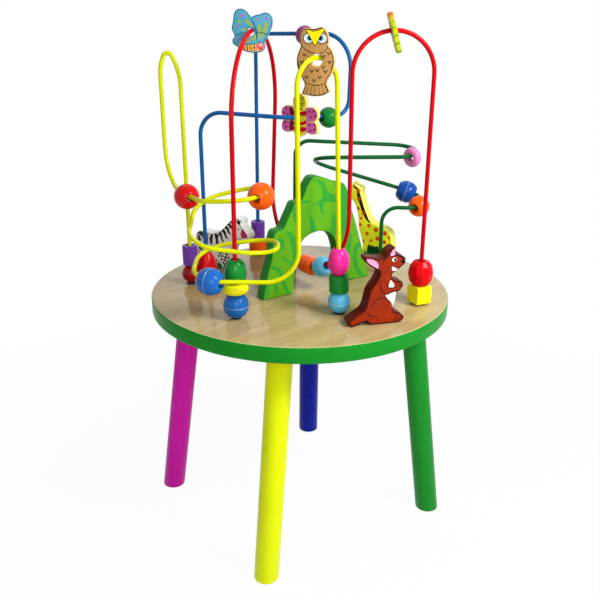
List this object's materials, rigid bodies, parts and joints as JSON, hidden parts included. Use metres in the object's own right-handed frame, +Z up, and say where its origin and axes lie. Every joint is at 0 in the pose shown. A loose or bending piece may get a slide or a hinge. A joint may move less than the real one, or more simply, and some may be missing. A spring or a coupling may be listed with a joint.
{
  "type": "activity table",
  "caption": "Round wooden play table on splayed legs, with bent wires that carry sliding wooden beads and flat animal figures.",
  "frame": {"origin": "on the floor, under the middle of the round top", "axes": "+Z up; +X to the right and +Y away from someone who faces the front leg"},
  "size_m": [0.3644, 0.3558, 0.6022],
  "materials": {
    "tabletop_finish": "light wood-grain laminate with a green painted edge",
    "leg_front_finish": "glossy painted wood",
    "bolt_steel": "zinc-plated steel",
    "leg_right_finish": "glossy painted wood",
    "leg_back_finish": "glossy painted wood",
    "leg_left_finish": "glossy painted wood",
    "wire_red_finish": "glossy plastic-coated steel",
    "wire_yellow_finish": "glossy plastic-coated steel",
    "wire_blue_finish": "glossy plastic-coated steel",
    "wire_green_finish": "glossy plastic-coated steel",
    "black_plastic": "black plastic",
    "mountain_finish": "glossy painted wood",
    "kangaroo_finish": "glossy painted wood",
    "giraffe_finish": "glossy painted wood",
    "zebra_finish": "glossy painted wood",
    "screw_steel": "zinc-plated steel",
    "ball_blue_front_finish": "glossy painted wood",
    "disk_yellow_finish": "glossy painted wood",
    "egg_green_finish": "glossy painted wood",
    "cube_yellow_finish": "glossy painted wood",
    "barrel_red_finish": "glossy painted wood",
    "ball_dark_red_finish": "glossy painted wood",
    "cylinder_purple_left_finish": "glossy painted wood",
    "ball_light_blue_front_finish": "glossy painted wood",
    "cylinder_green_finish": "glossy painted wood",
    "egg_pink_finish": "glossy painted wood",
    "egg_red_finish": "glossy painted wood",
    "cylinder_orange_back_finish": "glossy painted wood",
    "cylinder_purple_back_finish": "glossy painted wood",
    "cylinder_orange_tunnel_finish": "glossy painted wood",
    "ball_light_blue_tunnel_finish": "glossy painted wood",
    "ball_orange_loop_finish": "glossy painted wood",
    "ball_blue_loop_finish": "glossy painted wood",
    "ring_pink_finish": "glossy painted wood",
    "ball_blue_back_finish": "glossy painted wood",
    "ball_orange_back_finish": "glossy painted wood",
    "ball_red_finish": "glossy painted wood",
    "ball_green_finish": "glossy painted wood",
    "ball_purple_finish": "glossy painted wood",
    "butterfly_finish": "glossy painted wood",
    "owl_finish": "glossy painted wood",
    "bee_finish": "glossy painted wood",
    "grub_finish": "glossy painted wood"
  },
  "bodies": {
    "table": {"tabletop": "tabletop_finish", "leg_front": "leg_front_finish", "hanger_bolt_front": "bolt_steel", "leg_right": "leg_right_finish", "hanger_bolt_right": "bolt_steel", "leg_back": "leg_back_finish", "hanger_bolt_back": "bolt_steel", "leg_left": "leg_left_finish", "hanger_bolt_left": "bolt_steel", "wire_red": "wire_red_finish", "wire_yellow": "wire_yellow_finish", "wire_blue": "wire_blue_finish", "wire_green": "wire_green_finish", "grommet_red_front": "black_plastic", "grommet_red_right": "black_plastic", "grommet_yellow_left": "black_plastic", "grommet_yellow_middle": "black_plastic", "grommet_blue_left": "black_plastic", "grommet_blue_back": "black_plastic", "grommet_green_back": "black_plastic", "grommet_green_right": "black_plastic", "mountain": "mountain_finish", "kangaroo": "kangaroo_finish", "giraffe": "giraffe_finish", "zebra": "zebra_finish", "screw_mountain_left": "screw_steel", "screw_mountain_right": "screw_steel", "screw_kangaroo": "screw_steel", "screw_giraffe": "screw_steel", "screw_zebra": "screw_steel"},
    "ball_blue_front": {"ball_blue_front": "ball_blue_front_finish"},
    "disk_yellow": {"disk_yellow": "disk_yellow_finish"},
    "egg_green": {"egg_green": "egg_green_finish"},
    "cube_yellow": {"cube_yellow": "cube_yellow_finish"},
    "barrel_red": {"barrel_red": "barrel_red_finish"},
    "ball_dark_red": {"ball_dark_red": "ball_dark_red_finish"},
    "cylinder_purple_left": {"cylinder_purple_left": "cylinder_purple_left_finish"},
    "ball_light_blue_front": {"ball_light_blue_front": "ball_light_blue_front_finish"},
    "cylinder_green": {"cylinder_green": "cylinder_green_finish"},
    "egg_pink": {"egg_pink": "egg_pink_finish"},
    "egg_red": {"egg_red": "egg_red_finish"},
    "cylinder_orange_back": {"cylinder_orange_back": "cylinder_orange_back_finish"},
    "cylinder_purple_back": {"cylinder_purple_back": "cylinder_purple_back_finish"},
    "cylinder_orange_tunnel": {"cylinder_orange_tunnel": "cylinder_orange_tunnel_finish"},
    "ball_light_blue_tunnel": {"ball_light_blue_tunnel": "ball_light_blue_tunnel_finish"},
    "ball_orange_loop": {"ball_orange_loop": "ball_orange_loop_finish"},
    "ball_blue_loop": {"ball_blue_loop": "ball_blue_loop_finish"},
    "ring_pink": {"ring_pink": "ring_pink_finish"},
    "ball_blue_back": {"ball_blue_back": "ball_blue_back_finish"},
    "ball_orange_back": {"ball_orange_back": "ball_orange_back_finish"},
    "ball_red": {"ball_red": "ball_red_finish"},
    "ball_green": {"ball_green": "ball_green_finish"},
    "ball_purple": {"ball_purple": "ball_purple_finish"},
    "butterfly": {"butterfly": "butterfly_finish"},
    "owl": {"owl": "owl_finish"},
    "bee": {"bee": "bee_finish"},
    "grub": {"grub": "grub_finish"}
  },
  "joints": [
    {"name": "ball_blue_front_slide", "type": "slide", "parent": "table", "child": "ball_blue_front", "axis": [-0.0017, 0, 1], "range_m": [0, 0.007]},
    {"name": "disk_yellow_slide", "type": "slide", "parent": "ball_blue_front", "child": "disk_yellow", "axis": [-0.0017, 0, 1], "range_m": [0, 0.007]},
    {"name": "egg_green_slide", "type": "slide", "parent": "disk_yellow", "child": "egg_green", "axis": [-0.0017, 0, 1], "range_m": [0, 0.007]},
    {"name": "cube_yellow_slide", "type": "slide", "parent": "table", "child": "cube_yellow", "axis": [0.0048, 0.0361, 0.9993], "range_m": [0, 0.045]},
    {"name": "barrel_red_slide", "type": "slide", "parent": "cube_yellow", "child": "barrel_red", "axis": [0.0048, 0.0361, 0.9993], "range_m": [0, 0.045]},
    {"name": "ball_dark_red_slide", "type": "slide", "parent": "table", "child": "ball_dark_red", "axis": [-0.0098, 0, 1], "range_m": [0, 0.045]},
    {"name": "cylinder_purple_left_slide", "type": "slide", "parent": "ball_dark_red", "child": "cylinder_purple_left", "axis": [-0.0098, 0, 1], "range_m": [0, 0.045]},
    {"name": "ball_light_blue_front_slide", "type": "slide", "parent": "table", "child": "ball_light_blue_front", "axis": [-0.0344, 0, 0.9994], "range_m": [0, 0.04]},
    {"name": "cylinder_green_slide", "type": "slide", "parent": "ball_light_blue_front", "child": "cylinder_green", "axis": [-0.0344, 0, 0.9994], "range_m": [0, 0.04]},
    {"name": "egg_pink_slide", "type": "slide", "parent": "cylinder_green", "child": "egg_pink", "axis": [-0.0344, 0, 0.9994], "range_m": [0, 0.04]},
    {"name": "egg_red_slide", "type": "slide", "parent": "table", "child": "egg_red", "axis": [-0.0074, 0, 1], "range_m": [0, 0.045]},
    {"name": "cylinder_orange_back_slide", "type": "slide", "parent": "table", "child": "cylinder_orange_back", "axis": [0, 0, 1], "range_m": [0, 0.045]},
    {"name": "cylinder_purple_back_slide", "type": "slide", "parent": "cylinder_orange_back", "child": "cylinder_purple_back", "axis": [0, 0, 1], "range_m": [0, 0.045]},
    {"name": "cylinder_orange_tunnel_turn", "type": "hinge", "parent": "table", "child": "cylinder_orange_tunnel", "pos_m": [0.00977, 0.00897, 0.392], "axis": [-0.8077, -0.5895, -0.0076], "range_deg": [0, 30]},
    {"name": "ball_light_blue_tunnel_turn", "type": "hinge", "parent": "cylinder_orange_tunnel", "child": "ball_light_blue_tunnel", "pos_m": [0.00977, 0.00897, 0.392], "axis": [-0.8077, -0.5895, -0.0076], "range_deg": [0, 30]},
    {"name": "ball_orange_loop_turn", "type": "hinge", "parent": "table", "child": "ball_orange_loop", "pos_m": [-0.07194, -0.05359, 0.41812], "axis": [-0.0572, -0.0277, 0.998], "range_deg": [-47, 22]},
    {"name": "ball_blue_loop_turn", "type": "hinge", "parent": "table", "child": "ball_blue_loop", "pos_m": [-0.079, -0.08527, 0.34426], "axis": [0, -0.1254, 0.9921], "range_deg": [-64, 0]},
    {"name": "ring_pink_turn", "type": "hinge", "parent": "table", "child": "ring_pink", "pos_m": [0.11651, 0.07268, 0.44231], "axis": [0.0232, 0.0957, -0.9951], "range_deg": [-45, 45]},
    {"name": "ball_blue_back_turn", "type": "hinge", "parent": "table", "child": "ball_blue_back", "pos_m": [0.12937, 0.07616, 0.38811], "axis": [-0.261, 0.1101, -0.959], "range_deg": [-11, 46]},
    {"name": "ball_orange_back_turn", "type": "hinge", "parent": "table", "child": "ball_orange_back", "pos_m": [0.12998, 0.07184, 0.38102], "axis": [0.0189, 0.1361, -0.9905], "range_deg": [-42, 59]},
    {"name": "ball_red_slide", "type": "slide", "parent": "table", "child": "ball_red", "axis": [0.4725, -0.8804, 0.0415], "range_m": [-0.008, 0.025]},
    {"name": "ball_green_slide", "type": "slide", "parent": "table", "child": "ball_green", "axis": [0.785, 0.6188, -0.0287], "range_m": [-0.024, 0.003]},
    {"name": "ball_purple_slide", "type": "slide", "parent": "table", "child": "ball_purple", "axis": [-0.8071, 0.5901, -0.0213], "range_m": [-0.032, 0.053]},
    {"name": "butterfly_turn", "type": "hinge", "parent": "table", "child": "butterfly", "pos_m": [-0.04921, -0.01516, 0.496], "axis": [-0.9749, 0.2226, -0.0017], "range_deg": [-55, 10]},
    {"name": "owl_turn", "type": "hinge", "parent": "table", "child": "owl", "pos_m": [0.01471, -0.10076, 0.5325], "axis": [-0.6882, 0.7254, -0.0126], "range_deg": [-40, 38]},
    {"name": "bee_turn", "type": "hinge", "parent": "table", "child": "bee", "pos_m": [-0.02019, 0.03169, 0.49108], "axis": [0.025, 0.0146, 0.9996], "range_deg": [-45, 5]},
    {"name": "grub_turn", "type": "hinge", "parent": "table", "child": "grub", "pos_m": [0.09311, -0.04511, 0.541], "axis": [-0.1164, 0.9932, -0.0011], "range_deg": [-60, 31]}
  ]
}
